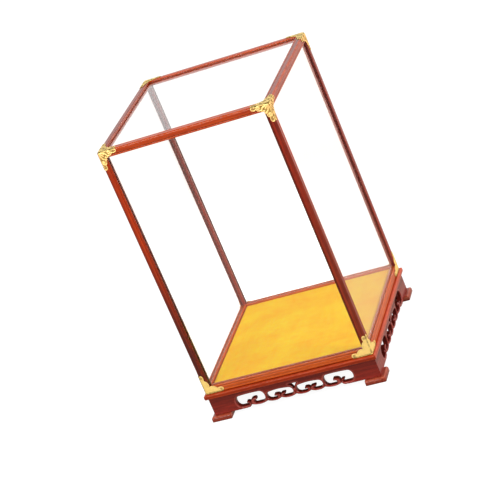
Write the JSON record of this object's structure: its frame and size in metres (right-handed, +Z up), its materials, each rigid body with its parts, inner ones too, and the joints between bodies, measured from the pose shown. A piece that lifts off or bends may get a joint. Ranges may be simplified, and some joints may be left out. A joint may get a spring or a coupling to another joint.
{
  "type": "figurine display case",
  "caption": "Glass cover in a slim grooved hardwood frame with scalloped brass corners, lifting off a low stand with a silk-covered floor and pierced scroll aprons.",
  "frame": {"origin": "on the ground, in the middle under the four foot pads", "axes": "+Z up, +X to the right seen from the front, -Y towards the front; the four sides are alike"},
  "size_m": [0.14, 0.14, 0.23],
  "materials": {
    "frame_wood": "gloss varnish",
    "carved_wood": "gloss varnish",
    "plain_wood": "bare, sawn",
    "brass": "pressed, polished",
    "glass": "clear, polished",
    "silk": "satin weave"
  },
  "bodies": {
    "stand": {"base_rail_front": "frame_wood", "apron_front": "carved_wood", "base_rail_right": "frame_wood", "apron_right": "carved_wood", "base_rail_back": "frame_wood", "apron_back": "carved_wood", "base_rail_left": "frame_wood", "apron_left": "carved_wood", "foot_front_left": "carved_wood", "corner_block_front_left": "plain_wood", "foot_front_right": "carved_wood", "corner_block_front_right": "plain_wood", "foot_back_right": "carved_wood", "corner_block_back_right": "plain_wood", "foot_back_left": "carved_wood", "corner_block_back_left": "plain_wood", "floor_board": "plain_wood", "silk_cover": "silk"},
    "cover": {"post_front_left": "frame_wood", "top_corner_front_left": "brass", "bottom_corner_front_left": "brass", "post_front_right": "frame_wood", "top_corner_front_right": "brass", "bottom_corner_front_right": "brass", "post_back_right": "frame_wood", "top_corner_back_right": "brass", "bottom_corner_back_right": "brass", "post_back_left": "frame_wood", "top_corner_back_left": "brass", "bottom_corner_back_left": "brass", "top_rail_front": "frame_wood", "bottom_rail_front": "frame_wood", "pane_front": "glass", "top_rail_right": "frame_wood", "bottom_rail_right": "frame_wood", "pane_right": "glass", "top_rail_back": "frame_wood", "bottom_rail_back": "frame_wood", "pane_back": "glass", "top_rail_left": "frame_wood", "bottom_rail_left": "frame_wood", "pane_left": "glass", "pane_top": "glass"}
  },
  "joints": [
    {"name": "cover_lift", "type": "slide", "parent": "stand", "child": "cover", "axis": [0, 0, 1], "range_m": [0, 0.21]}
  ]
}
